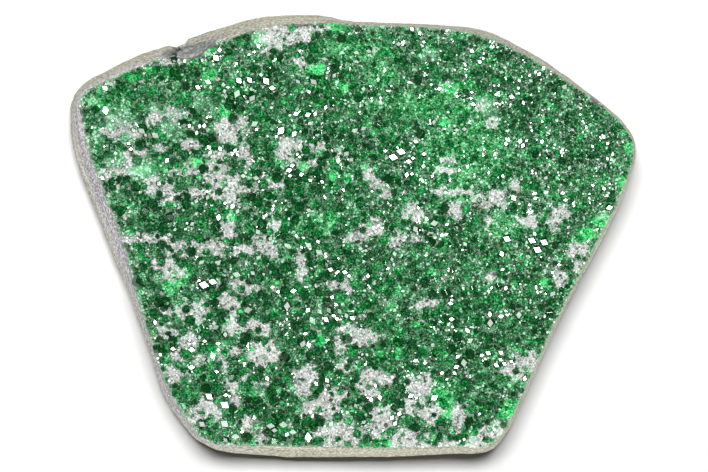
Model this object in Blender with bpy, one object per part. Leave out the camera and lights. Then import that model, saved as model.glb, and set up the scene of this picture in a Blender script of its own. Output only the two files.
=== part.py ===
"""Uvarovite garnet: a druse of small green garnet crystals on a sawn slab of its rock.

The specimen lies on its flat sawn back with the crystals up. Sizes are metres and +Z is up.
+X runs along the long side and +Y along the short one. The origin is the middle of the back's
bounding box. Lengths below are written in millimetres and multiplied by MM where they are used.
"""

import math
import random

import bmesh
import bpy
from mathutils import Matrix, Quaternion, Vector, geometry, noise

MM = 0.001

# Rim of the crust seen from above, anticlockwise from the top left corner, in millimetres:
# x, y, and how far the foot of the rock wall stands out beyond the rim at that place.
RIM = [
    (-24.5, 12.4, 1.3),
    (-24.3, 10.6, 1.7),
    (-23.8, 8.0, 1.9),
    (-22.2, 3.6, 1.9),
    (-20.4, -1.3, 1.8),
    (-19.6, -4.7, 1.2),
    (-17.8, -10.8, 0.9),
    (-16.4, -14.1, 1.2),
    (-14.3, -17.4, 1.1),
    (-13.1, -18.5, 0.9),
    (-11.2, -18.8, 1.2),
    (-5.4, -18.9, 1.5),
    (3.1, -19.1, 1.3),
    (8.3, -19.0, 1.1),
    (11.9, -19.0, 1.0),
    (13.3, -18.0, 0.8),
    (14.6, -15.8, 0.7),
    (18.2, -7.9, 0.7),
    (23.6, 2.5, 0.7),
    (25.0, 6.1, 0.7),
    (25.3, 7.9, 0.7),
    (24.7, 9.5, 0.7),
    (22.6, 11.6, 0.7),
    (17.1, 15.3, 0.9),
    (12.7, 17.6, 1.0),
    (8.3, 18.6, 0.8),
    (0.2, 19.0, 0.7),
    (-2.9, 19.1, 1.2),
    (-7.8, 18.7, 1.5),
    (-12.6, 17.2, 1.7),
    (-17.3, 15.9, 1.6),
    (-22.6, 13.7, 1.4),
]
STEPS_PER_SPAN = 3

SLAB_TOP = 7.6
JOINT_GAP = 0.3
CRUST_FLOOR = SLAB_TOP + JOINT_GAP
CRUST_TOP = 9.1
CRUST_SHOULDER = 8.6
CRUST_EDGE_TOP = CRUST_TOP - 0.1

# Profiles of the rock wall and of the crust's edge: height, and the share of the foot's reach
# beyond the rim that the wall has there.
WALL_PROFILE = [(0.0, 0.84), (0.7, 1.0), (2.6, 0.97), (5.0, 0.66), (SLAB_TOP, 0.16)]
CRUST_PROFILE = [(CRUST_FLOOR, 0.12), (CRUST_SHOULDER, 0.02), (CRUST_EDGE_TOP, -0.12)]


# The wall is worn uneven: how deep, and how wide its hollows are.
WALL_ROUGHNESS = 0.16
WALL_GRAIN = 3.2

# The face of the crust rolls in low swells, and all over it stand the tips of small garnets,
# which are the points of a net of flat facets.
SWELL = 0.22
SWELL_GRAIN = 5.0
TIP_SPACING = 2.3
TIP_RISE = 0.34
TIP_JITTER = 0.3
TIP_MARGIN = 0.4
NET_WIDTH = 54.0
NET_DEPTH = 44.0

# The garnets that are large enough to model, from one flat face to the opposite one. They keep
# apart by a share of their own sizes, and grow finer from the lower left to the upper right.
GARNET_COUNT = 235
GARNET_SMALLEST = 0.9
GARNET_LARGEST = 1.9
GARNET_FINENESS = 0.36
GARNET_SPACING = 0.62
GARNET_MARGIN = 0.78
GARNET_TRIES = 200
SUNK_SHARE = 0.22
FLAT_ANGLE = 0.01
GARNET_SEED = 41

# Scooped chips at the edge: centre x, y, z, half sizes along, across and up, and turn in degrees.
CHIPS = [
    (-14.9, 17.9, 9.2, 2.5, 2.1, 2.9, 18.0),
    (10.2, -19.9, 9.4, 3.3, 1.1, 1.2, 2.0),
    (-4.6, 19.9, 9.3, 2.2, 1.1, 0.9, 0.0),
    (23.2, 12.6, 9.4, 1.1, 0.8, 0.7, -45.0),
]

ROCK_GREY = (0.47, 0.47, 0.41, 1.0)
GARNET_GREEN = (0.035, 0.23, 0.075, 1.0)


def clear_scene():
    for found in list(bpy.data.objects):
        bpy.data.objects.remove(found, do_unlink=True)


def plain_material(name, colour, roughness):
    made = bpy.data.materials.new(name)
    made.use_nodes = True
    shader = made.node_tree.nodes["Principled BSDF"]
    shader.inputs["Base Color"].default_value = colour
    shader.inputs["Roughness"].default_value = roughness
    shader.inputs["Metallic"].default_value = 0.0
    return made


def add_object(name, mesh_data, material=None):
    """Puts a bmesh in the scene as an object in metres, and frees it."""
    bmesh.ops.recalc_face_normals(mesh_data, faces=mesh_data.faces)
    mesh = bpy.data.meshes.new(name)
    mesh_data.to_mesh(mesh)
    mesh_data.free()
    mesh.transform(Matrix.Scale(MM, 4))
    made = bpy.data.objects.new(name, mesh)
    bpy.context.scene.collection.objects.link(made)
    if material:
        mesh.materials.append(material)
    return made


def smooth_loop(points, steps):
    """A closed Catmull-Rom curve through the points, with that many steps between two of them."""
    count = len(points)
    made = []
    for i in range(count):
        before, start, end, after = (Vector(points[(i + k) % count]) for k in (-1, 0, 1, 2))
        for step in range(steps):
            t = step / steps
            made.append(
                0.5
                * (
                    2 * start
                    + (end - before) * t
                    + (2 * before - 5 * start + 4 * end - after) * t**2
                    + (3 * start - before - 3 * end + after) * t**3
                )
            )
    return made


def outward_normals(loop):
    """Unit vectors that point out of an anticlockwise loop, flat in x and y."""
    made = []
    for i in range(len(loop)):
        along = loop[(i + 1) % len(loop)] - loop[i - 1]
        made.append(Vector((along.y, -along.x, 0.0)).normalized())
    return made


def centred_rim():
    """The rim's points and normals, moved so that the foot's bounding box is centred on the origin."""
    loop = smooth_loop(RIM, STEPS_PER_SPAN)
    normals = outward_normals(loop)
    foot = [Vector((p.x, p.y, 0.0)) + n * p.z for p, n in zip(loop, normals)]
    middle_x = (min(p.x for p in foot) + max(p.x for p in foot)) / 2
    middle_y = (min(p.y for p in foot) + max(p.y for p in foot)) / 2
    moved = [(Vector((p.x - middle_x, p.y - middle_y, 0.0)), n, p.z) for p, n in zip(loop, normals)]
    return moved, Vector((middle_x, middle_y, 0.0))


def ring(mesh_data, rim, height, share, roughness):
    """One closed ring of the wall at a height, a share of the foot's reach out from the rim."""
    made = []
    for place, normal, reach in rim:
        seed = Vector((place.x, place.y, height)) / WALL_GRAIN
        out = reach * share - roughness * (0.5 + 0.5 * noise.noise(seed))
        made.append(mesh_data.verts.new(place + normal * out + Vector((0.0, 0.0, height))))
    return made


def bridge(mesh_data, lower, upper):
    for i in range(len(lower)):
        k = (i + 1) % len(lower)
        mesh_data.faces.new((lower[i], lower[k], upper[k], upper[i]))


def swell_height(x, y):
    """Height of the crust's face at a place, which rolls gently over the specimen."""
    return CRUST_TOP + SWELL * noise.noise(Vector((x, y, 3.0)) / SWELL_GRAIN)


def inside(place, loop, margin):
    """Whether a place lies inside the loop and at least the margin away from it."""
    crossings = 0
    for i, end in enumerate(loop):
        start = loop[i - 1]
        nearest = geometry.intersect_point_line(place, start, end)
        t = min(1.0, max(0.0, nearest[1]))
        if (start.lerp(end, t) - place).length < margin:
            return False
        if (start.y > place.y) != (end.y > place.y):
            reach = (place.y - start.y) / (end.y - start.y)
            crossings += start.x + reach * (end.x - start.x) > place.x
    return crossings % 2 == 1


def crystal_tips(loop):
    """The small garnets' tips: a triangular net inside the rim, each point moved from its row."""
    chance = random.Random(GARNET_SEED)
    shift = TIP_SPACING * TIP_JITTER
    row_step = TIP_SPACING * math.sqrt(3) / 2
    rows = round(NET_DEPTH / row_step)
    columns = round(NET_WIDTH / TIP_SPACING)
    made = []
    for row in range(-rows // 2, rows // 2 + 1):
        for column in range(-columns // 2, columns // 2 + 1):
            x = (column + 0.5 * (row % 2)) * TIP_SPACING + chance.uniform(-shift, shift)
            y = row * row_step + chance.uniform(-shift, shift)
            rise = chance.uniform(-TIP_RISE, TIP_RISE)
            if inside(Vector((x, y, 0.0)), loop, TIP_SPACING * TIP_MARGIN):
                made.append(Vector((x, y, swell_height(x, y) + rise)))
    return made


def crust_face(mesh_data, edge):
    """Fills the crust's top ring with flat facets between the tips of the small garnets."""
    loop = [Vector((v.co.x, v.co.y, 0.0)) for v in edge]
    tips = crystal_tips(loop)
    flat = [p.to_2d() for p in loop + tips]
    sides = [(i, (i + 1) % len(loop)) for i in range(len(loop))]
    result = geometry.delaunay_2d_cdt(flat, sides, [], 1, 1e-6)
    corners = list(edge) + [mesh_data.verts.new(p) for p in tips]
    for a, b, c in result[2]:
        mesh_data.faces.new([corners[result[3][k][0]] for k in (a, b, c)])


def dodecahedron(mesh_data, width, place, turn):
    """One garnet crystal: twelve flat rhombs, made from a cube by raising its faces' centres."""
    side = width / math.sqrt(2)
    made = bmesh.ops.create_cube(mesh_data, size=side)
    faces = list({face for vert in made["verts"] for face in vert.link_faces})
    peaks = bmesh.ops.poke(mesh_data, faces=faces, offset=side / 2)
    verts = made["verts"] + peaks["verts"]
    edges = list({edge for vert in verts for edge in vert.link_edges})
    bmesh.ops.dissolve_limit(mesh_data, angle_limit=FLAT_ANGLE, verts=verts, edges=edges)
    placed = Matrix.Translation(place) @ turn.to_matrix().to_4x4()
    bmesh.ops.transform(mesh_data, matrix=placed, verts=verts)


def fineness(x, y):
    """How much smaller the crystals are at a place than in the lower left corner."""
    across = (x / NET_WIDTH + y / NET_DEPTH + 1) / 2
    return 1 - GARNET_FINENESS * min(1.0, max(0.0, across))


def free_places(loop):
    """Places and sizes of the large garnets, thrown at random, largest first, none too close."""
    chance = random.Random(GARNET_SEED)
    spread = GARNET_LARGEST - GARNET_SMALLEST
    sizes = [GARNET_SMALLEST + spread * chance.random() ** 2.2 for _ in range(GARNET_COUNT)]
    made = []
    for size in sorted(sizes, reverse=True):
        for _ in range(GARNET_TRIES):
            x = chance.uniform(-NET_WIDTH, NET_WIDTH) / 2
            y = chance.uniform(-NET_DEPTH, NET_DEPTH) / 2
            place = Vector((x, y, 0.0))
            width = size * fineness(x, y)
            crowded = any((place - p).length < GARNET_SPACING * (width + s) for p, s in made)
            if not crowded and inside(place, loop, width * GARNET_MARGIN):
                made.append((place, width))
                break
    return made


def garnet_crystals(rim):
    """All the large garnets as one helper mesh, which the crust takes up by a Boolean union."""
    chance = random.Random(GARNET_SEED + 1)
    mesh_data = bmesh.new()
    loop = [place for place, _, _ in rim]
    for place, size in free_places(loop):
        turn = Quaternion([chance.gauss(0, 1) for _ in range(4)]).normalized()
        height = swell_height(place.x, place.y) + size * chance.uniform(-SUNK_SHARE, 0.0)
        lowest = CRUST_FLOOR + size / math.sqrt(2)
        dodecahedron(mesh_data, size, Vector((place.x, place.y, max(height, lowest))), turn)
    return helper("garnet_cluster", mesh_data)


def chip_scoops(shift):
    """The scoops that the edge chips left, as one helper mesh for a Boolean difference."""
    mesh_data = bmesh.new()
    for x, y, z, along, across, up, turn in CHIPS:
        made = bmesh.ops.create_icosphere(mesh_data, subdivisions=2, radius=1.0)
        placed = (
            Matrix.Translation(Vector((x, y, z)) - shift)
            @ Matrix.Rotation(math.radians(turn), 4, "Z")
            @ Matrix.Diagonal((along, across, up, 1.0))
        )
        bmesh.ops.transform(mesh_data, matrix=placed, verts=made["verts"])
    return helper("chip_scoops", mesh_data)


def helper(name, mesh_data):
    made = add_object(name, mesh_data)
    made.hide_render = True
    made.display_type = "WIRE"
    return made


def boolean(target, operation, other):
    """Joins the other mesh to the target or cuts it away, also where the other crosses itself."""
    made = target.modifiers.new(operation.lower(), "BOOLEAN")
    made.operation = operation
    made.solver = "EXACT"
    made.use_self = True
    made.object = other


def rock_slab(rim, scoops):
    """The grey rock under the crystals: flat sawn back, and walls that lean out to a wider foot."""
    mesh_data = bmesh.new()
    rings = [ring(mesh_data, rim, height, share, WALL_ROUGHNESS) for height, share in WALL_PROFILE]
    for lower, upper in zip(rings, rings[1:]):
        bridge(mesh_data, lower, upper)
    mesh_data.faces.new(rings[0])
    mesh_data.faces.new(rings[-1])
    made = add_object("rock_slab", mesh_data, plain_material("rock", ROCK_GREY, 0.75))
    boolean(made, "DIFFERENCE", scoops)


def garnet_crust(rim, crystals, scoops):
    """The sheet of garnet that grew on the rock, with the largest crystals standing out of it."""
    mesh_data = bmesh.new()
    rings = [ring(mesh_data, rim, height, share, 0.0) for height, share in CRUST_PROFILE]
    for lower, upper in zip(rings, rings[1:]):
        bridge(mesh_data, lower, upper)
    mesh_data.faces.new(rings[0])
    crust_face(mesh_data, rings[-1])
    made = add_object("garnet_crust", mesh_data, plain_material("garnet", GARNET_GREEN, 0.12))
    boolean(made, "UNION", crystals)
    boolean(made, "DIFFERENCE", scoops)


def main():
    clear_scene()
    rim, shift = centred_rim()
    scoops = chip_scoops(shift)
    crystals = garnet_crystals(rim)
    rock_slab(rim, scoops)
    garnet_crust(rim, crystals, scoops)


main()
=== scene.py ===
"""Uvarovite garnet: a druse of small green garnets grown on a sawn slab of grey rock.

The specimen lies on its sawn back, crystals up, and the camera looks straight down on it.
Lengths below are in millimetres unless a name says otherwise, and MM turns them into metres.
"""

import math

import bpy
import numpy as np
from mathutils import Matrix, Vector, noise
from mathutils.bvhtree import BVHTree


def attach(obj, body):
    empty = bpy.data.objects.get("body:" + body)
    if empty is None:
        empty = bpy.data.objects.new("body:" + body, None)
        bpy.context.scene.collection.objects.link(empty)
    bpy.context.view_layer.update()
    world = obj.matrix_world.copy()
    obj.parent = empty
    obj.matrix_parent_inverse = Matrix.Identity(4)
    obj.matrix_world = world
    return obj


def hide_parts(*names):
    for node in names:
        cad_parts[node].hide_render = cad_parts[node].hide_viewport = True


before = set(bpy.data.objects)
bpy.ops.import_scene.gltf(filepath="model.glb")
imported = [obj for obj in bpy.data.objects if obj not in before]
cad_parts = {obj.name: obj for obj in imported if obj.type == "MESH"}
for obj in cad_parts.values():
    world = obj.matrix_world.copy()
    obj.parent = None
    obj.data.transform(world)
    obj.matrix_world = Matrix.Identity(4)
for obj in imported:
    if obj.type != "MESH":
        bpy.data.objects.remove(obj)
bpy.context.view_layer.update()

MM = 0.001


# Camera: a long lens straight above the specimen, with the long side across the picture.
# The scale of the picture is set by the garnets, whose widest glinting faces are about 1 mm.
MM_PER_PIXEL = 0.09
PICTURE_WIDTH_PIXELS = 708
PICTURE_MIDDLE_PIXEL = (354, 236)
ORIGIN_PIXEL = (353, 236)
LENS = 200.0
SENSOR_WIDTH = 36.0
FACE_HEIGHT = 9.1
CAMERA_DISTANCE = PICTURE_WIDTH_PIXELS * MM_PER_PIXEL * LENS / SENSOR_WIDTH


def place_of_pixel(across, down):
    """Where a pixel of the picture lies on the crystal face, in millimetres from the middle."""
    x = (across - ORIGIN_PIXEL[0]) * MM_PER_PIXEL
    y = (ORIGIN_PIXEL[1] - down) * MM_PER_PIXEL
    return x, y


camera_data = bpy.data.cameras.new("camera")
camera_data.lens = LENS
camera_data.sensor_width = SENSOR_WIDTH
camera_data.clip_start = 0.01
camera_data.clip_end = 10.0
camera = bpy.data.objects.new("camera", camera_data)
camera_x, camera_y = place_of_pixel(*PICTURE_MIDDLE_PIXEL)
camera.location = Vector((camera_x, camera_y, FACE_HEIGHT + CAMERA_DISTANCE)) * MM
bpy.context.scene.collection.objects.link(camera)
bpy.context.scene.camera = camera


# Light: softboxes overhead, a little towards the far edge, which the garnets' faces mirror as
# white glints, weaker panels low round the specimen, and an even dim surround. The card that the
# specimen lies on has a light of its own, small enough to keep the shadow close to the stone.
PANELS = [
    # name, direction from the specimen, distance, width, height, radiance
    ("card_light", (0.0, 0.220, 0.975), 0.80, 0.25, 0.125, 190.0),
    ("key_light", (0.0, 0.12, 0.99), 0.80, 0.24, 0.23, 46.5),
    ("second_light", (0.35, -0.30, 0.88), 0.80, 0.26, 0.26, 7.0),
    ("left_strip", (-0.75, 0.30, 0.60), 0.70, 0.10, 0.30, 5.0),
    ("front_panel", (0.0, -0.95, 0.30), 0.70, 0.50, 0.25, 6.0),
]
SURROUND = (0.62, 0.64, 0.63, 1.0)
SURROUND_STRENGTH = 0.045

for name, direction, distance, width, height, radiance in PANELS:
    light = bpy.data.lights.new(name, "AREA")
    light.shape = "RECTANGLE"
    light.size = width
    light.size_y = height
    light.energy = radiance * math.pi * width * height
    lamp = bpy.data.objects.new(name, light)
    towards = Vector(direction).normalized()
    lamp.location = towards * distance
    lamp.rotation_euler = towards.to_track_quat("Z", "Y").to_euler()
    bpy.context.scene.collection.objects.link(lamp)

world = bpy.data.worlds.new("surround")
world.use_nodes = True
backdrop = world.node_tree.nodes["Background"]
backdrop.inputs["Color"].default_value = SURROUND
backdrop.inputs["Strength"].default_value = SURROUND_STRENGTH
bpy.context.scene.world = world
bpy.context.scene.view_settings.view_transform = "Standard"


# Floor: plain card, which isn't part of the specimen. Its light is strong enough to make it white.
FLOOR_SIZE = 3.0
FLOOR_TONE = (0.35, 0.35, 0.35, 1.0)

bpy.ops.object.select_all(action="DESELECT")
bpy.ops.mesh.primitive_plane_add(size=FLOOR_SIZE, location=(0.0, 0.0, 0.0))
floor = bpy.context.object
floor.name = "floor"
floor_card = bpy.data.materials.new("white_card")
floor_card.use_nodes = True
floor_card.node_tree.nodes["Principled BSDF"].inputs["Base Color"].default_value = FLOOR_TONE
floor_card.node_tree.nodes["Principled BSDF"].inputs["Roughness"].default_value = 0.9
floor.data.materials.append(floor_card)

for name, direction, distance, width, height, radiance in PANELS:
    lit = bpy.data.collections.new(f"lit_by_{name}")
    lit.objects.link(floor)
    lit.collection_objects[0].light_linking.link_state = "INCLUDE" if name == "card_light" else "EXCLUDE"
    bpy.data.objects[name].light_linking.receiver_collection = lit


# Rock slab: beige-grey host rock, sawn flat underneath and ground smooth round the sides, with
# fine lines along the walls. The solid's own shape is kept and given its worn, pitted surface.
ROCK_VOXEL = 0.3
ROCK_PITS = 1.6
ROCK_PIT_DEPTH = 0.16
ROCK_GRAIN = 0.45
ROCK_GRAIN_DEPTH = 0.05
ROCK_BROWN = (0.22, 0.21, 0.14, 1.0)
ROCK_BEIGE = (0.45, 0.44, 0.33, 1.0)
ROCK_CREAM = (0.76, 0.76, 0.62, 1.0)
ROCK_DARK = (0.18, 0.17, 0.19, 1.0)
ROCK_PURPLE = (0.43, 0.41, 0.43, 1.0)
ROCK_PALE = (0.82, 0.81, 0.81, 1.0)
ROCK_BROKEN = (0.18, 0.19, 0.18, 1.0)
ROCK_SPLINTER = (0.37, 0.39, 0.37, 1.0)
ROCK_SHADE = (0.08, 0.08, 0.08, 1.0)
# Painted shade, near black, for the inside of the crack.
CRACK_PAINTED_SHADE = (0.02, 0.02, 0.02, 1.0)
# The crack beside the chip, point by point in the picture's pixels, the notch it leaves in the
# outline and the stretch of the wall's foot that is worn back on both sides of it. The crack is
# cut into the rock and is also painted near black inside, as painted shade.
CRACK_PIXELS = [(165, 36), (169, 41), (174, 46), (172, 50), (173, 54), (168, 57), (162, 59)]
CRACK_HALF_WIDTH = 0.16
CRACK_EDGE = 0.12
CRACK_DEPTH = 0.25
CRACK_AREA_PIXELS = (152, 186, 32, 64)
CRACK_LOWEST = 0.8
CRACK_FULL_FROM = 3.5
CRACK_WANDER = 0.20
CRACK_WANDER_FEATURE = 1.4
NOTCH_PIXELS = (166, 182, 30, 49)
NOTCH_DEPTH = 0.34
WORN_PIXELS = (140, 196, 22, 54)
WORN_DEPTH = 0.26
WORN_UP_TO = 7.6
BROKEN_LOWEST = 4.0
# Freshly broken, darker rock: the chip at the upper left and a dark seam under the top edge, as
# left, right, top and bottom in the picture's pixels.
BROKEN_PATCHES_PIXELS = [
    (163, 181, 47, 60), (174, 207, 43, 61), (194, 218, 40, 50), (280, 320, 24, 27), (589, 601, 95, 105),
]


def copy_of_node(node_name, piece_name):
    """A new piece with the mesh of a CAD node, its loose triangles merged."""
    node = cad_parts[node_name]
    piece = bpy.data.objects.new(piece_name, node.data.copy())
    bpy.context.scene.collection.objects.link(piece)
    piece.data.materials.clear()
    bpy.ops.object.select_all(action="DESELECT")
    piece.select_set(True)
    bpy.context.view_layer.objects.active = piece
    bpy.ops.object.mode_set(mode="EDIT")
    bpy.ops.mesh.select_all(action="SELECT")
    bpy.ops.mesh.remove_doubles(threshold=1e-6)
    bpy.ops.object.mode_set(mode="OBJECT")
    return piece


def remesh(piece, voxel):
    made = piece.modifiers.new("even_faces", "REMESH")
    made.mode = "VOXEL"
    made.voxel_size = voxel * MM
    bpy.ops.object.modifier_apply(modifier=made.name)


def roughen(piece, name, feature, depth):
    """Pushes the surface in and out by a cloud pattern with features of that size."""
    pattern = bpy.data.textures.new(name, "CLOUDS")
    pattern.noise_scale = feature * MM
    pattern.noise_depth = 2
    made = piece.modifiers.new(name, "DISPLACE")
    made.texture = pattern
    made.texture_coords = "GLOBAL"
    made.strength = depth * MM
    made.mid_level = 0.5
    bpy.ops.object.modifier_apply(modifier=made.name)


def points_of(mesh):
    """The mesh's points as rows of x, y, z in millimetres."""
    flat = np.empty(len(mesh.vertices) * 3, np.float32)
    mesh.vertices.foreach_get("co", flat)
    return flat.reshape(-1, 3).astype(float) / MM


def set_points(mesh, points):
    mesh.vertices.foreach_set("co", (points * MM).astype(np.float32).ravel())
    mesh.update()


def new_material(name):
    """(material, its nodes, a function that links two sockets, its Principled BSDF)."""
    made = bpy.data.materials.new(name)
    made.use_nodes = True
    nodes = made.node_tree.nodes
    return made, nodes, made.node_tree.links.new, nodes["Principled BSDF"]


def ramp(nodes, stops):
    made = nodes.new("ShaderNodeValToRGB")
    made.color_ramp.elements[0].position = stops[0][0]
    made.color_ramp.elements[0].color = stops[0][1]
    made.color_ramp.elements[1].position = stops[-1][0]
    made.color_ramp.elements[1].color = stops[-1][1]
    for position, colour in stops[1:-1]:
        made.color_ramp.elements.new(position).color = colour
    return made


def pattern_noise(nodes, link, stretch, scale, detail=4.0, roughness=0.6):
    """Noise on the piece's own coordinates, stretched by a Mapping node; scale is per metre."""
    place = nodes.new("ShaderNodeTexCoord")
    mapping = nodes.new("ShaderNodeMapping")
    mapping.inputs["Scale"].default_value = stretch
    made = nodes.new("ShaderNodeTexNoise")
    made.inputs["Scale"].default_value = scale
    made.inputs["Detail"].default_value = detail
    made.inputs["Roughness"].default_value = roughness
    link(place.outputs["Object"], mapping.inputs["Vector"])
    link(mapping.outputs["Vector"], made.inputs["Vector"])
    return made


PATCH_SOFTNESS = 0.35


def patches_of(boxes):
    """Middle and half size of each box, in millimetres on the crystal face."""
    made = []
    for left, right, top, bottom in boxes:
        low_x, high_y = place_of_pixel(left, top)
        high_x, low_y = place_of_pixel(right, bottom)
        made.append(((low_x + high_x) / 2, (low_y + high_y) / 2, (high_x - low_x) / 2, (high_y - low_y) / 2))
    return np.array(made)


def strength_in(patches, places, ragged):
    """1 in the middle of a patch, 0 well outside, with a ragged edge; one value for each place."""
    reach = np.full(len(places), 9.0)
    for x, y, half_width, half_height in patches:
        apart = np.hypot((places[:, 0] - x) / half_width, (places[:, 1] - y) / half_height)
        reach = np.minimum(reach, apart)
    return ((1.0 + PATCH_SOFTNESS + ragged - reach) / (2 * PATCH_SOFTNESS)).clip(0.0, 1.0)


def noise_at(places, feature, seed):
    """Smooth noise from about -1 to 1 with features of that size, one value for each place."""
    return np.array([noise.noise((x / feature, y / feature, seed)) for x, y in places])


broken_patches = patches_of(BROKEN_PATCHES_PIXELS)


def brokenness(places):
    return strength_in(broken_patches, places, 0.4 * noise_at(places, 0.5, 5.3))


def closeness_to_crack(places):
    """1 on the crack's line, 0 beside it."""
    stops = np.array([place_of_pixel(across, down) for across, down in CRACK_PIXELS])
    nearest = np.full(len(places), np.inf)
    for start, end in zip(stops, stops[1:]):
        along = end - start
        t = ((places - start) @ along / (along @ along)).clip(0.0, 1.0)
        nearest = np.minimum(nearest, np.hypot(*(places - start - t[:, None] * along).T))
    return ((CRACK_HALF_WIDTH + CRACK_EDGE - nearest) / CRACK_EDGE).clip(0.0, 1.0)


def subdivide_within(piece, area):
    """Cuts the piece's faces smaller inside an area given in the picture's pixels."""
    low_x, high_y = place_of_pixel(area[0], area[2])
    high_x, low_y = place_of_pixel(area[1], area[3])
    for face in piece.data.polygons:
        x, y, z = face.center / MM
        face.select = low_x < x < high_x and low_y < y < high_y and z > CRACK_LOWEST
    bpy.ops.object.mode_set(mode="EDIT")
    bpy.ops.mesh.select_mode(type="FACE")
    bpy.ops.mesh.subdivide(number_cuts=3)
    bpy.ops.object.mode_set(mode="OBJECT")


rock = copy_of_node("rock_slab", "rock")
remesh(rock, ROCK_VOXEL)
roughen(rock, "rock_pits", ROCK_PITS, ROCK_PIT_DEPTH)
roughen(rock, "rock_grain", ROCK_GRAIN, ROCK_GRAIN_DEPTH)
subdivide_within(rock, CRACK_AREA_PIXELS)
rock_points = points_of(rock.data)
heights = np.column_stack([rock_points[:, 2], rock_points[:, 2]])
wander = CRACK_WANDER * noise_at(heights, CRACK_WANDER_FEATURE, 7.7)
cracked = closeness_to_crack(rock_points[:, :2] + wander[:, None] * (1.0, 0.4))
cracked *= ((rock_points[:, 2] - CRACK_LOWEST) / (CRACK_FULL_FROM - CRACK_LOWEST)).clip(0.0, 1.0)
notched = strength_in(patches_of([NOTCH_PIXELS]), rock_points[:, :2], 0.0)
worn = strength_in(patches_of([WORN_PIXELS]), rock_points[:, :2], 0.0)
worn *= (1.0 - rock_points[:, 2] / WORN_UP_TO).clip(0.0, 1.0)
inward = -rock_points[:, :2] / np.linalg.norm(rock_points[:, :2], axis=1)[:, None]
lost = NOTCH_DEPTH * notched + WORN_DEPTH * worn + CRACK_DEPTH * cracked
rock_points[:, :2] += lost[:, None] * inward
rock_points[:, 2] -= CRACK_DEPTH * cracked
rock_points[:, 2] = rock_points[:, 2].clip(0.0)
set_points(rock.data, rock_points)
bpy.ops.object.shade_smooth()
height = rock_points[:, 2]
for name, values in (
    ("broken", (height > BROKEN_LOWEST) * brokenness(rock_points[:, :2])),
    ("cracked", cracked),
):
    made = rock.data.attributes.new(name, "FLOAT", "POINT")
    made.data.foreach_set("value", values.astype(np.float32))

rock_stone, nodes, link, shader = new_material("host_rock")
lines = pattern_noise(nodes, link, (0.05, 0.05, 1.0), 2200.0)
mottle = pattern_noise(nodes, link, (1.0, 1.0, 1.0), 700.0)
speckle = pattern_noise(nodes, link, (1.0, 1.0, 1.0), 4200.0, 2.0, 0.6)
tones = nodes.new("ShaderNodeMath")
tones.operation = "MULTIPLY_ADD"
tones.inputs[1].default_value = 0.45
link(lines.outputs["Fac"], tones.inputs[0])
link(speckle.outputs["Fac"], tones.inputs[2])
low_colour = ramp(nodes, [(0.58, ROCK_BROWN), (0.72, ROCK_BEIGE), (0.86, ROCK_CREAM)])
high_colour = ramp(nodes, [(0.58, ROCK_DARK), (0.72, ROCK_PURPLE), (0.86, ROCK_PALE)])
link(tones.outputs["Value"], low_colour.inputs["Fac"])
link(tones.outputs["Value"], high_colour.inputs["Fac"])
place = nodes.new("ShaderNodeTexCoord")
axes = nodes.new("ShaderNodeSeparateXYZ")
level = nodes.new("ShaderNodeMath")
level.operation = "MULTIPLY_ADD"
level.inputs[1].default_value = 0.006
climb = nodes.new("ShaderNodeMapRange")
climb.inputs["From Min"].default_value = 0.0084
climb.inputs["From Max"].default_value = 0.0104
link(place.outputs["Object"], axes.inputs["Vector"])
link(mottle.outputs["Fac"], level.inputs[0])
lower = nodes.new("ShaderNodeMapRange")
lower.inputs["From Min"].default_value = 0.014
lower.inputs["From Max"].default_value = 0.008
lower.inputs["To Max"].default_value = 0.0022
raised = nodes.new("ShaderNodeMath")
raised.operation = "ADD"
link(axes.outputs["Y"], lower.inputs["Value"])
link(axes.outputs["Z"], raised.inputs[0])
link(lower.outputs["Result"], raised.inputs[1])
link(raised.outputs["Value"], level.inputs[2])
link(level.outputs["Value"], climb.inputs["Value"])
leftward = nodes.new("ShaderNodeMapRange")
leftward.inputs["From Min"].default_value = -0.008
leftward.inputs["From Max"].default_value = -0.014
link(axes.outputs["X"], leftward.inputs["Value"])
link(leftward.outputs["Result"], climb.inputs["To Max"])
both = nodes.new("ShaderNodeMix")
both.data_type = "RGBA"
link(climb.outputs["Result"], both.inputs["Factor"])
link(low_colour.outputs["Color"], both.inputs["A"])
link(high_colour.outputs["Color"], both.inputs["B"])
fresh = nodes.new("ShaderNodeAttribute")
fresh.attribute_name = "broken"
fresh_colour = ramp(nodes, [(0.50, ROCK_SHADE), (0.74, ROCK_BROKEN), (0.94, ROCK_SPLINTER)])
link(tones.outputs["Value"], fresh_colour.inputs["Fac"])
worn = nodes.new("ShaderNodeMix")
worn.data_type = "RGBA"
link(fresh.outputs["Fac"], worn.inputs["Factor"])
link(both.outputs["Result"], worn.inputs["A"])
link(fresh_colour.outputs["Color"], worn.inputs["B"])
# The crack's line is painted near black: painted shade inside the groove.
crack_shade_mask = nodes.new("ShaderNodeAttribute")
crack_shade_mask.attribute_name = "cracked"
painted_crack_shade = nodes.new("ShaderNodeMix")
painted_crack_shade.data_type = "RGBA"
painted_crack_shade.inputs["B"].default_value = CRACK_PAINTED_SHADE
link(crack_shade_mask.outputs["Fac"], painted_crack_shade.inputs["Factor"])
link(worn.outputs["Result"], painted_crack_shade.inputs["A"])
link(painted_crack_shade.outputs["Result"], shader.inputs["Base Color"])
shader.inputs["Roughness"].default_value = 0.75
relief = nodes.new("ShaderNodeBump")
relief.inputs["Strength"].default_value = 0.4
relief.inputs["Distance"].default_value = 0.00006
link(tones.outputs["Value"], relief.inputs["Height"])
link(relief.outputs["Normal"], shader.inputs["Normal"])
rock.data.materials.append(rock_stone)
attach(rock, "root")
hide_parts("rock_slab")


# Crust bed: the sheet of tiny intergrown garnets that the larger ones stand in. It is bonded to
# the rock, dark green between the crystals, and pale where the garnet gives way to white grains.
BED_VOXEL = 0.25
BED_LEVEL = 9.2
BED_LUMP_SHARE = 0.25
BED_UNDERSIDE = 8.0
BED_BOND = 0.5
BED_GRAIN = 0.5
BED_GRAIN_DEPTH = 0.22
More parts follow.
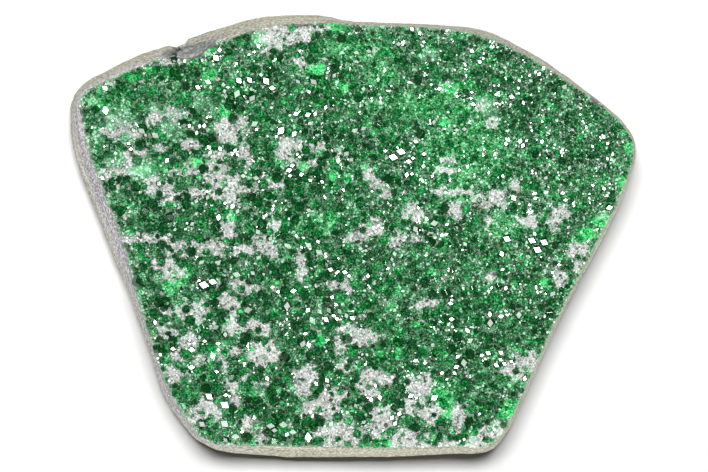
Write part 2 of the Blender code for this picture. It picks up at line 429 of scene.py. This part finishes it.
# The grain gets finer to the right and upwards, by this much in a millimetre.
BED_RIM = 0.45
BED_RIM_LOWEST = 8.0
BED_RIM_FADE = 0.5
FINE_ACROSS = 0.022
FINE_UP = 0.012
PALE_SEAM_LEVEL = 0.62

# Where the white grains show, as left, right, top and bottom in the picture's pixels.
PALE_PATCHES_PIXELS = [
    (107, 137, 122, 138), (146, 164, 113, 125), (164, 182, 107, 122), (127, 146, 149, 167),
    (106, 133, 161, 181), (146, 161, 175, 197), (161, 181, 180, 203), (213, 234, 149, 169),
    (202, 230, 170, 184), (222, 241, 174, 209), (211, 228, 184, 206), (219, 247, 119, 132),
    (276, 300, 137, 160), (268, 282, 218, 227), (218, 239, 224, 239), (242, 279, 236, 256),
    (166, 198, 238, 256), (130, 158, 233, 244), (147, 182, 260, 277), (208, 225, 241, 255),
    (270, 285, 180, 189), (247, 259, 184, 193), (231, 257, 281, 292), (216, 234, 290, 310),
    (228, 239, 301, 315), (176, 201, 304, 321), (155, 176, 309, 317), (247, 270, 320, 336),
    (222, 237, 320, 332), (156, 176, 327, 338), (182, 198, 335, 349), (250, 277, 344, 367),
    (230, 242, 346, 356), (219, 228, 352, 369), (166, 187, 353, 361), (196, 208, 356, 367),
    (166, 182, 367, 382), (228, 239, 382, 393), (193, 215, 401, 421), (230, 239, 395, 405),
    (239, 253, 418, 431), (253, 267, 430, 440), (291, 311, 380, 397), (297, 321, 403, 420),
    (324, 347, 390, 402), (314, 363, 420, 446), (332, 346, 339, 353), (352, 378, 333, 344),
    (340, 352, 362, 373), (358, 378, 373, 394), (376, 387, 373, 388), (387, 398, 376, 385),
    (409, 433, 373, 394), (370, 390, 408, 436), (390, 425, 428, 448), (402, 415, 400, 411),
    (416, 445, 405, 422), (454, 467, 408, 428), (507, 524, 357, 381), (524, 536, 354, 370),
    (554, 568, 270, 287), (570, 587, 242, 258), (573, 582, 260, 272), (441, 471, 189, 196),
    (448, 461, 199, 218), (460, 476, 189, 196), (474, 485, 194, 205), (485, 506, 190, 210),
    (543, 565, 207, 227), (522, 538, 217, 230), (515, 521, 214, 222), (482, 493, 216, 226),
    (511, 520, 181, 191), (361, 372, 167, 181), (369, 384, 181, 190), (381, 395, 187, 203),
    (402, 421, 206, 219), (366, 386, 219, 236), (347, 366, 232, 242), (386, 412, 232, 247),
    (442, 459, 154, 163), (433, 451, 167, 174), (311, 324, 143, 151), (334, 341, 146, 158),
    (309, 317, 160, 167), (295, 305, 255, 279), (485, 499, 270, 281), (330, 350, 280, 291),
    (416, 436, 300, 307), (405, 415, 304, 311), (337, 355, 323, 332), (257, 300, 26, 49),
    (260, 274, 46, 55), (295, 307, 57, 66), (477, 490, 98, 112), (485, 497, 115, 127),
    (155, 167, 141, 153), (132, 146, 150, 159), (398, 432, 441, 450), (432, 460, 439, 450),
    (460, 492, 436, 450), (484, 502, 422, 440), (158, 184, 58, 65), (255, 285, 22, 30),
    (300, 332, 25, 31), (200, 214, 52, 60), (280, 308, 28, 34), (176, 200, 166, 182),
    (181, 197, 142, 153), (203, 216, 155, 172), (186, 206, 186, 198), (298, 318, 366, 382),
    (318, 338, 402, 420), (205, 220, 400, 416), (238, 249, 130, 166), (222, 240, 131, 145),
    (112, 126, 178, 188), (440, 452, 186, 194),
]
# Where the garnets are a brighter emerald green, which is painted light coming through them, in the
# same way.
EMERALD_PATCHES_PIXELS = [
    (433, 454, 388, 406), (441, 456, 406, 416), (500, 516, 403, 417), (373, 390, 437, 446),
    (468, 477, 437, 448), (577, 593, 228, 240), (593, 612, 214, 226), (625, 634, 143, 155),
    (126, 138, 75, 81), (145, 152, 67, 73), (204, 215, 49, 55), (205, 216, 69, 84),
    (219, 231, 107, 118), (192, 198, 61, 67), (254, 268, 34, 44), (323, 344, 24, 32),
    (308, 324, 63, 75), (334, 352, 83, 93), (438, 465, 84, 93), (440, 452, 118, 128),
    (192, 202, 157, 164), (136, 152, 166, 175), (330, 339, 170, 179), (343, 351, 173, 183),
    (181, 190, 269, 280), (162, 176, 281, 291), (208, 218, 346, 355), (538, 548, 279, 285),
    (617, 627, 175, 185), (222, 238, 212, 220), (285, 294, 253, 258), (315, 326, 336, 344),
]
# Where the garnets are milky, mint green, in the same way as above.
MINT_PATCHES_PIXELS = [
    (108, 131, 108, 138), (107, 128, 153, 170), (128, 157, 160, 178), (148, 162, 104, 119),
    (164, 182, 107, 122), (252, 268, 33, 45), (136, 152, 166, 175), (90, 104, 128, 140),
    (480, 494, 100, 116), (596, 612, 211, 219), (196, 210, 96, 106), (420, 436, 48, 58),
    (158, 178, 120, 136),
]
# Where a broad stretch of the garnet lets a little more light through.
GLOW_PATCHES_PIXELS = [
    (365, 480, 92, 118), (425, 505, 118, 180), (445, 475, 182, 205), (325, 395, 38, 60),
    (365, 395, 62, 90), (285, 350, 215, 235), (485, 525, 212, 236), (95, 135, 84, 112),
]

pale_patches = patches_of(PALE_PATCHES_PIXELS)
emerald_patches = patches_of(EMERALD_PATCHES_PIXELS)
mint_patches = patches_of(MINT_PATCHES_PIXELS)
glow_patches = patches_of(GLOW_PATCHES_PIXELS)


def fineness(places):
    """0 where the crystals are coarse, at the lower left, 1 where they are fine."""
    return (0.5 + places[:, 0] * FINE_ACROSS + places[:, 1] * FINE_UP).clip(0.0, 1.0)


def milkiness(places):
    return 0.9 * strength_in(mint_patches, places, 0.1 + 0.8 * noise_at(places, 0.7, 4.9))


def paleness(places):
    """The listed patches with ragged edges, and a thin network of pale seams at the coarse side."""
    listed = strength_in(pale_patches, places, 0.14 + 0.9 * noise_at(places, 0.9, 3.7))
    streaks = places * (1.0, 1.5)
    seams = 0.7 * noise_at(streaks, 1.3, 11.3) + 0.8 * noise_at(streaks, 0.7, 2.9)
    network = ((seams - PALE_SEAM_LEVEL + 0.25 * (1.0 - fineness(places))) / 0.2).clip(0.0, 1.0)
    return np.maximum(listed, network) * (1.0 - brokenness(places)) * (1.0 - 0.55 * milkiness(places))


# Painted light coming through the garnet: the brighter emerald patches and the broad glow.
def painted_light_through(places):
    listed = strength_in(emerald_patches, places, 0.15 + 0.7 * noise_at(places, 0.8, 8.1))
    broad = strength_in(glow_patches, places, 0.1 + 0.5 * noise_at(places, 1.6, 1.7))
    return np.maximum(0.9 * listed, 0.4 * broad)


def lightness(places):
    """Broad streaks of lighter and darker garnet, from about 0 to 1."""
    streaks = places * (1.0, 1.6)
    return 0.59 + 0.8 * noise_at(streaks, 1.2, 6.6) + 0.4 * noise_at(streaks, 0.5, 9.4)


crust_points = points_of(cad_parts["garnet_crust"].data)
rim = crust_points[crust_points[:, 2] < crust_points[:, 2].min() + 0.01, :2]
rim = np.unique(rim.round(3), axis=0)
rim = rim[np.argsort(np.arctan2(rim[:, 1], rim[:, 0]))]


def depth_inside(places):
    """How far inside the rim each place lies, less than 0 outside it."""
    nearest = np.full(len(places), np.inf)
    crossings = np.zeros(len(places), int)
    for start, end in zip(rim, np.roll(rim, -1, axis=0)):
        along = end - start
        gap = places - start
        t = (gap @ along / (along @ along)).clip(0.0, 1.0)
        nearest = np.minimum(nearest, np.hypot(*(gap - t[:, None] * along).T))
        if along[1]:
            spans = (start[1] > places[:, 1]) != (end[1] > places[:, 1])
            crossings += spans & (gap[:, 0] < gap[:, 1] * along[0] / along[1])
    return np.where(crossings % 2, nearest, -nearest)



def nearness_to_rim(places):
    """1 at the crust's outer edge, 0 from a little way inside it."""
    return (1.0 - depth_inside(places) / BED_RIM).clip(0.0, 1.0)


bed = copy_of_node("garnet_crust", "crust_bed")
remesh(bed, BED_VOXEL)
bed_points = points_of(bed.data)
lumps = bed_points[:, 2] > BED_LEVEL
bed_points[lumps, 2] = BED_LEVEL + (bed_points[lumps, 2] - BED_LEVEL) * BED_LUMP_SHARE
bed_points[bed_points[:, 2] < BED_UNDERSIDE, 2] -= BED_BOND
set_points(bed.data, bed_points)
roughen(bed, "bed_grain", BED_GRAIN, BED_GRAIN_DEPTH)
bpy.ops.object.shade_smooth()
bed_points = points_of(bed.data)
bed_places = bed_points[:, :2]
upper_edge = ((bed_points[:, 2] - BED_RIM_LOWEST) / BED_RIM_FADE).clip(0.0, 1.0)
for name, values in (
    ("pale", paleness(bed_places)),
    ("emerald", painted_light_through(bed_places)),
    ("rim", nearness_to_rim(bed_places) * upper_edge),
    ("broken", brokenness(bed_places)),
):
    found = bed.data.attributes.new(name, "FLOAT", "POINT")
    found.data.foreach_set("value", values.astype(np.float32))

GROUND_DARK = (0.022, 0.040, 0.014, 1.0)
GROUND_GREEN = (0.04, 0.19, 0.07, 1.0)
GROUND_PALE = (0.36, 0.39, 0.36, 1.0)
GROUND_BROKEN = [(0.40, (0.05, 0.05, 0.05, 1.0)), (0.62, (0.20, 0.20, 0.21, 1.0))]
GROUND_EMERALD = (0.04, 0.42, 0.12, 1.0)
GROUND_RIM = [(0.35, (0.20, 0.36, 0.18, 1.0)), (0.65, (0.62, 0.78, 0.52, 1.0))]

ground, nodes, link, shader = new_material("garnet_ground")
grains = pattern_noise(nodes, link, (1.0, 1.0, 1.0), 3500.0)
grain_colour = ramp(nodes, [(0.35, GROUND_DARK), (0.7, GROUND_GREEN)])
link(grains.outputs["Fac"], grain_colour.inputs["Fac"])
colour = grain_colour.outputs["Color"]
for name, stops in (
    ("emerald", [(0.0, GROUND_EMERALD), (1.0, GROUND_EMERALD)]),
    ("pale", [(0.0, GROUND_PALE), (1.0, GROUND_PALE)]),
    ("rim", GROUND_RIM),
    ("broken", GROUND_BROKEN),
):
    mask = nodes.new("ShaderNodeAttribute")
    mask.attribute_name = name
    tones = ramp(nodes, stops)
    mixed = nodes.new("ShaderNodeMix")
    mixed.data_type = "RGBA"
    link(grains.outputs["Fac"], tones.inputs["Fac"])
    link(tones.outputs["Color"], mixed.inputs["B"])
    link(mask.outputs["Fac"], mixed.inputs["Factor"])
    link(colour, mixed.inputs["A"])
    colour = mixed.outputs["Result"]
link(colour, shader.inputs["Base Color"])
shader.inputs["Roughness"].default_value = 0.5
bed.data.materials.append(ground)
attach(bed, "root")
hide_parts("garnet_crust")


# Garnets: rhombic dodecahedra, each with twelve flat rhombs, grown into each other all over the
# face. Large ones stand among middling ones, and small ones fill the gaps and sit on their
# flanks. They are coarse at the lower left and finer towards the upper right.
CRYSTAL_SEED = 7
FACE_HALF_X = 26.5
FACE_HALF_Y = 21.0
CRYSTAL_SIZES = [
    # name, narrowest, widest, tries in a square millimetre where coarse and where fine
    ("large_garnets", 0.60, 0.97, 2.4, 0.2),
    ("middling_garnets", 0.36, 0.60, 10.0, 3.4),
    ("small_garnets", 0.17, 0.36, 30.0, 70.0),
]
CLOSENESS = {"large_garnets": 0.48, "middling_garnets": 0.46, "small_garnets": 0.34}
RIM_MARGIN = 0.5
RIM_GAP = 0.07
STAND = {"large_garnets": 0.14, "middling_garnets": 0.14, "small_garnets": 0.10}
TURN_TRIES = {"large_garnets": 2, "middling_garnets": 4, "small_garnets": 2}
CELL_REACH = 0.42
ALIKE_CELL = 1.3
ALIKE_SHARE = 0.4
FINER = 0.18
LARGE_IS_DARKER = 0.8
MILKY_RIM = 0.24
LARGEST_MILKY = 0.34
COARSE_DULL = 0.62
FINE_DULL = 0.42
FACE_NORMALS = np.array([(0, 1, 1), (0, 1, -1), (1, 0, 1), (1, 0, -1), (1, 1, 0), (1, -1, 0)]) / math.sqrt(2)
LEVEL_WAY = np.array([0.0, 0.06, 0.998])
OCCUPIED_CELL = 0.04
OCCUPIED_EDGE = 40

chance = np.random.default_rng(CRYSTAL_SEED)
occupied = np.zeros((
    int(2 * FACE_HALF_Y / OCCUPIED_CELL) + 2 * OCCUPIED_EDGE,
    int(2 * FACE_HALF_X / OCCUPIED_CELL) + 2 * OCCUPIED_EDGE,
), bool)
discs = {}


def settle(places, widths, closeness):
    """Which of the crystals find room, the widest first; each keeps a disc of the face to itself."""
    chosen = []
    for i in np.argsort(-widths):
        reach = max(1, round(widths[i] * closeness / OCCUPIED_CELL))
        if reach not in discs:
            down, across = np.mgrid[-reach:reach + 1, -reach:reach + 1]
            discs[reach] = np.hypot(down, across) <= reach
        column = int((places[i, 0] + FACE_HALF_X) / OCCUPIED_CELL) + OCCUPIED_EDGE
        row = int((places[i, 1] + FACE_HALF_Y) / OCCUPIED_CELL) + OCCUPIED_EDGE
        around = occupied[row - reach:row + reach + 1, column - reach:column + reach + 1]
        if not (around & discs[reach]).any():
            around |= discs[reach]
            chosen.append(i)
    return np.array(chosen)


def thrown(narrowest, widest, coarse_tries, fine_tries):
    """Random places on the face with a width for each, as many as the grain there asks for."""
    most = max(coarse_tries, fine_tries)
    count = int(most * 4 * FACE_HALF_X * FACE_HALF_Y)
    places = chance.uniform((-FACE_HALF_X, -FACE_HALF_Y), (FACE_HALF_X, FACE_HALF_Y), (count, 2))
    fine = fineness(places)
    wanted = coarse_tries + (fine_tries - coarse_tries) * fine
    drawn = chance.uniform(0.0, most, count) < wanted
    places = places[drawn]
    widths = narrowest + (widest - narrowest) * chance.uniform(0.0, 1.0, len(places)) ** 1.6
    widths *= 1.0 - FINER * fine[drawn]
    kept = depth_inside(places) > widths * RIM_MARGIN + RIM_GAP
    return places[kept], widths[kept]


def crystal_model(edge_bevel):
    """A rhombic dodecahedron, 1 across flats, as (points, faces), made from a cube."""
    side = 1 / math.sqrt(2)
    bpy.ops.object.select_all(action="DESELECT")
    bpy.ops.mesh.primitive_cube_add(size=side)
    model = bpy.context.object
    bpy.ops.object.mode_set(mode="EDIT")
    bpy.ops.mesh.select_all(action="SELECT")
    bpy.ops.mesh.poke(offset=side / 2)
    bpy.ops.mesh.dissolve_limited(angle_limit=0.01)
    if edge_bevel:
        bpy.ops.mesh.bevel(offset=edge_bevel, segments=1)
    bpy.ops.object.mode_set(mode="OBJECT")
    return taken(model)


def taken(model):
    """The model's points and faces, and the model itself removed."""
    points = np.array([v.co for v in model.data.vertices])
    faces = [tuple(p.vertices) for p in model.data.polygons]
    bpy.data.objects.remove(model, do_unlink=True)
    return points, faces


def random_turns(count):
    """That many evenly random 3 by 3 rotation matrices."""
    four = chance.standard_normal((4, count))
    w, x, y, z = four / np.linalg.norm(four, axis=0)
    return np.stack([
        np.stack([1 - 2 * (y * y + z * z), 2 * (x * y - w * z), 2 * (x * z + w * y)], -1),
        np.stack([2 * (x * y + w * z), 1 - 2 * (x * x + z * z), 2 * (y * z - w * x)], -1),
        np.stack([2 * (x * z - w * y), 2 * (y * z + w * x), 1 - 2 * (x * x + y * y)], -1),
    ], 1)


def turns_of(count, tries):
    """A turn for each crystal, the one of several random turns that brings a face most nearly level."""
    turns = random_turns(count * tries).reshape(count, tries, 3, 3)
    upward = np.abs(np.einsum("ntij,fj->ntfi", turns, FACE_NORMALS) @ LEVEL_WAY).max(axis=2)
    return turns[np.arange(count), upward.argmax(axis=1)]


def alike(turns, places):
    """The turns again, but many a crystal has that of the one beside it, which grew with it."""
    order = np.lexsort((places[:, 0] // ALIKE_CELL, places[:, 1] // ALIKE_CELL))
    for before, after in zip(order, order[1:]):
        if chance.uniform() < ALIKE_SHARE:
            turns[after] = turns[before]
    return turns


ground_points = [bed_points]
ground_faces = [[tuple(p.vertices) for p in bed.data.polygons]]


def ground_tree():
    """Everything that has grown so far, as one tree that rays can be cast at."""
    points, faces, first = [], [], 0
    for piece_points, piece_faces in zip(ground_points, ground_faces):
        points += [tuple(p) for p in piece_points]
        faces += [tuple(first + k for k in f) for f in piece_faces]
        first += len(piece_points)
    return BVHTree.FromPolygons(points, faces)


def heights_of(places):
    tree = ground_tree()
    found = []
    for x, y in places:
        hit = tree.ray_cast(Vector((x, y, 30.0)), Vector((0.0, 0.0, -1.0)))[0]
        found.append(hit.z if hit else BED_LEVEL)
    return np.array(found)


def lay_out_faces(mesh, lengths):
    """A map with a square cell for each face, so that each face keeps its own colour on it."""
    across = math.ceil(math.sqrt(len(lengths)))
    cell = np.repeat(np.arange(len(lengths)), lengths)
    corner = np.arange(len(cell)) - np.repeat(np.cumsum(lengths) - lengths, lengths)
    angle = 2 * math.pi * (corner + 0.5) / np.repeat(lengths, lengths)
    places = np.stack([cell % across + 0.5 + CELL_REACH * np.cos(angle),
                       cell // across + 0.5 + CELL_REACH * np.sin(angle)], axis=1)
    layer = mesh.uv_layers.new(name="OFBake")
    layer.data.foreach_set("uv", (places / across).astype(np.float32).ravel())


def grow(name, model, places, heights, sizes, material, stand, tries=1):
    """One piece of many crystals of one kind, joined from copies of the model."""
    points, faces = model
    count = len(places)
    middles = np.column_stack([places, heights + stand * sizes])
    turns = alike(turns_of(count, tries), places)
    placed = np.einsum("nij,kj->nki", turns, points) * sizes[:, None, None]
    placed += middles[:, None]
    lengths = np.array([len(f) for f in faces])
    corners = np.concatenate([np.array(f) for f in faces])
    corners = (corners + np.arange(count)[:, None] * len(points)).ravel()
    mesh = bpy.data.meshes.new(name)
    mesh.vertices.add(count * len(points))
    mesh.loops.add(len(corners))
    mesh.polygons.add(count * len(faces))
    mesh.vertices.foreach_set("co", (placed * MM).astype(np.float32).ravel())
    mesh.loops.foreach_set("vertex_index", corners.astype(np.int32))
    starts = np.concatenate([[0], np.cumsum(np.tile(lengths, count))[:-1]])
    mesh.polygons.foreach_set("loop_start", starts.astype(np.int32))
    mesh.update(calc_edges=True)
    mesh.shade_flat()
    whole = chance.uniform(0.0, 1.0, (count, 1))
    each = chance.uniform(0.0, 1.0, (count, len(faces)))
    deep = (sizes / LARGE_IS_DARKER).clip(0.0, 1.0)
    field = (lightness(places) + 0.3 * paleness(places) - 0.6 * deep)[:, None]
    shade = mesh.attributes.new("shade", "FLOAT", "FACE")
    shades = 0.48 * whole + 0.27 * each + 0.25 * field + 0.3 * painted_light_through(places)[:, None]
    milk = 0.2 * paleness(places)[:, None] * whole + 0.6 * (whole > 0.985)
    milk *= (sizes < LARGEST_MILKY)[:, None]
    milk = np.maximum(milk, milkiness(places)[:, None] * (0.3 + 0.7 * each))
    leftness = (-places[:, 0] / FACE_HALF_X).clip(0.25, 0.9)
    near_rim = leftness * (1.5 - depth_inside(places) / MILKY_RIM).clip(0.0, 1.0)
    milk = np.maximum(milk, near_rim[:, None] * (0.5 + 0.5 * whole))
    shades += 0.4 * near_rim[:, None]
    shade.data.foreach_set("value", shades.astype(np.float32).ravel())
    dull_share = (COARSE_DULL + (FINE_DULL - COARSE_DULL) * fineness(places)) * (sizes < LARGEST_MILKY)
    dull = chance.uniform(0.0, 1.0, (count, 1)) < dull_share[:, None]
    for label, field in (("emerald", painted_light_through(places)[:, None]), ("milky", milk), ("dull", dull)):
        made = mesh.attributes.new(label, "FLOAT", "FACE")
        values = np.broadcast_to(field, (count, len(faces)))
        made.data.foreach_set("value", values.astype(np.float32).ravel())
    lay_out_faces(mesh, np.tile(lengths, count))
    piece = bpy.data.objects.new(name, mesh)
    bpy.context.scene.collection.objects.link(piece)
    mesh.materials.append(material)
    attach(piece, "root")
    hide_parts("garnet_crust")
    ground_points.append(placed.reshape(-1, 3))
    ground_faces.append([tuple(p.vertices) for p in mesh.polygons])
    return piece


# The garnet itself: deep green glass, clouded inside by flaws and lighter zones, some faces
# and some whole crystals brighter where light comes through them.
GARNET_TONES = [
    (0.08, (0.002, 0.026, 0.006, 1.0)),
    (0.26, (0.004, 0.050, 0.012, 1.0)),
    (0.44, (0.009, 0.080, 0.024, 1.0)),
    (0.59, (0.026, 0.150, 0.052, 1.0)),
    (0.74, (0.070, 0.260, 0.115, 1.0)),
    (0.90, (0.200, 0.430, 0.260, 1.0)),
    (1.00, (0.460, 0.680, 0.500, 1.0)),
]
GARNET_EMERALD = [
    (0.10, (0.000, 0.042, 0.004, 1.0)),
    (0.40, (0.000, 0.155, 0.022, 1.0)),
    (0.70, (0.004, 0.390, 0.068, 1.0)),
    (1.00, (0.070, 0.760, 0.210, 1.0)),
]
GARNET_MILKY = [
    (0.15, (0.080, 0.340, 0.140, 1.0)),
    (0.50, (0.280, 0.700, 0.400, 1.0)),
    (0.90, (0.560, 0.920, 0.680, 1.0)),
]
GARNET_REFRACTION = 1.87

garnet, nodes, link, shader = new_material("green_garnet")
flaws = pattern_noise(nodes, link, (1.0, 1.0, 1.0), 6000.0, 2.0, 0.6)
zones = pattern_noise(nodes, link, (0.7, 1.0, 1.0), 1300.0, 3.0, 0.6)
cloud = nodes.new("ShaderNodeMapRange")
cloud.inputs["From Min"].default_value = 0.34
cloud.inputs["From Max"].default_value = 0.66
cloud.inputs["To Min"].default_value = -0.45
cloud.inputs["To Max"].default_value = 0.25
link(flaws.outputs["Fac"], cloud.inputs["Value"])
face = nodes.new("ShaderNodeAttribute")
face.attribute_name = "shade"
depth = nodes.new("ShaderNodeMath")
depth.operation = "MULTIPLY_ADD"
depth.inputs[1].default_value = 1.2
link(face.outputs["Fac"], depth.inputs[0])
link(cloud.outputs["Result"], depth.inputs[2])
tones = ramp(nodes, GARNET_TONES)
link(depth.outputs["Value"], tones.inputs["Fac"])
colour = tones.outputs["Color"]
for name, stops, least, most, strength in (
    ("emerald", GARNET_EMERALD, 0.52, 0.38, 0.75),
    ("milky", GARNET_MILKY, 0.60, 0.76, 0.12),
):
    patch = nodes.new("ShaderNodeAttribute")
    patch.attribute_name = name
    own_tones = ramp(nodes, stops)
    mixed = nodes.new("ShaderNodeMix")
    mixed.data_type = "RGBA"
    link(depth.outputs["Value"], own_tones.inputs["Fac"])
    link(own_tones.outputs["Color"], mixed.inputs["B"])
    glow = nodes.new("ShaderNodeMapRange")
    glow.inputs["From Min"].default_value = least
    glow.inputs["From Max"].default_value = most
    glow.inputs["To Max"].default_value = strength
    either = nodes.new("ShaderNodeMath")
    either.operation = "MAXIMUM"
    link(zones.outputs["Fac"], glow.inputs["Value"])
    link(glow.outputs["Result"], either.inputs[0])
    link(patch.outputs["Fac"], either.inputs[1])
    link(either.outputs["Value"], mixed.inputs["Factor"])
    link(colour, mixed.inputs["A"])
    colour = mixed.outputs["Result"]
link(colour, shader.inputs["Base Color"])
polish = nodes.new("ShaderNodeAttribute")
polish.attribute_name = "dull"
gloss = nodes.new("ShaderNodeMapRange")
gloss.inputs["To Min"].default_value = 0.07
gloss.inputs["To Max"].default_value = 0.30
link(polish.outputs["Fac"], gloss.inputs["Value"])
link(gloss.outputs["Result"], shader.inputs["Roughness"])
shader.inputs["IOR"].default_value = GARNET_REFRACTION

plain_crystal = crystal_model(0.0)
bevelled_crystal = crystal_model(0.012)
GREEN_IN_PALE = 0.05
for name, narrowest, widest, coarse_tries, fine_tries in CRYSTAL_SIZES:
    places, widths = thrown(narrowest, widest, coarse_tries, fine_tries)
    lost = (paleness(places) > 0.5) & (chance.uniform(0.0, 1.0, len(places)) > GREEN_IN_PALE)
    lost |= brokenness(places) > 0.6
    lost |= (milkiness(places) > 0.4) & (widths > LARGEST_MILKY)
    places, widths = places[~lost], widths[~lost]
    chosen = settle(places, widths, CLOSENESS[name])
    places, widths = places[chosen], widths[chosen]
    heights = heights_of(places)
    if name == "large_garnets":
        grow(name, bevelled_crystal, places, heights, widths, garnet, STAND[name], TURN_TRIES[name])
    elif name == "middling_garnets":
        grow(name, plain_crystal, places, heights, widths, garnet, STAND[name], TURN_TRIES[name])
    else:
        order = np.argsort(places[:, 0])
        share = 7800
        for first in range(0, len(order), share):
            part = order[first:first + share]
            column = "abcdef"[first // share]
            grow(
                f"{name}_{column}", plain_crystal, places[part], heights[part], widths[part], garnet,
                STAND[name], TURN_TRIES[name],
            )


# Pale grains: white to pinkish grains of the vein mineral between the garnets, each a small
# skewed block, packed like coarse sugar where the garnet leaves room.
GRAIN_NARROWEST = 0.13
GRAIN_WIDEST = 0.28
GRAIN_TRIES = 80.0
GRAIN_CLOSENESS = 0.40
GRAIN_STAND = 0.1
GRAIN_SHADOW = (0.13, 0.15, 0.13, 1.0)
GRAIN_GREY = (0.41, 0.41, 0.41, 1.0)
GRAIN_WHITE = (0.69, 0.73, 0.69, 1.0)


def grain_model():
    """A skewed block with the slant of a cleaved grain, about 1 wide, as (points, faces)."""
    bpy.ops.object.select_all(action="DESELECT")
    bpy.ops.mesh.primitive_cube_add(size=0.8)
    model = bpy.context.object
    for corner in model.data.vertices:
        corner.co.x += 0.3 * corner.co.z
        corner.co.y += 0.25 * corner.co.z
    return taken(model)


pale_grain, nodes, link, shader = new_material("pale_grain")
flaws = pattern_noise(nodes, link, (1.0, 1.0, 1.0), 4800.0, 2.0, 0.6)
face = nodes.new("ShaderNodeAttribute")
face.attribute_name = "shade"
depth = nodes.new("ShaderNodeMath")
depth.operation = "MULTIPLY_ADD"
depth.inputs[1].default_value = 0.9
cloud = nodes.new("ShaderNodeMapRange")
cloud.inputs["From Min"].default_value = 0.36
cloud.inputs["From Max"].default_value = 0.64
cloud.inputs["To Min"].default_value = -0.06
cloud.inputs["To Max"].default_value = 0.60
link(flaws.outputs["Fac"], cloud.inputs["Value"])
link(face.outputs["Fac"], depth.inputs[0])
link(cloud.outputs["Result"], depth.inputs[2])
tones = ramp(nodes, [(0.44, GRAIN_SHADOW), (0.70, GRAIN_GREY), (0.98, GRAIN_WHITE)])
link(depth.outputs["Value"], tones.inputs["Fac"])
link(tones.outputs["Color"], shader.inputs["Base Color"])
shader.inputs["Roughness"].default_value = 0.25
shader.inputs["IOR"].default_value = 1.6

places, widths = thrown(GRAIN_NARROWEST, GRAIN_WIDEST, GRAIN_TRIES, GRAIN_TRIES)
kept = paleness(places) > chance.uniform(0.3, 0.7, len(places))
places, widths = places[kept], widths[kept]
chosen = settle(places, widths, GRAIN_CLOSENESS)
places, widths = places[chosen], widths[chosen]
grow("pale_grains", grain_model(), places, heights_of(places), widths, pale_grain, GRAIN_STAND)
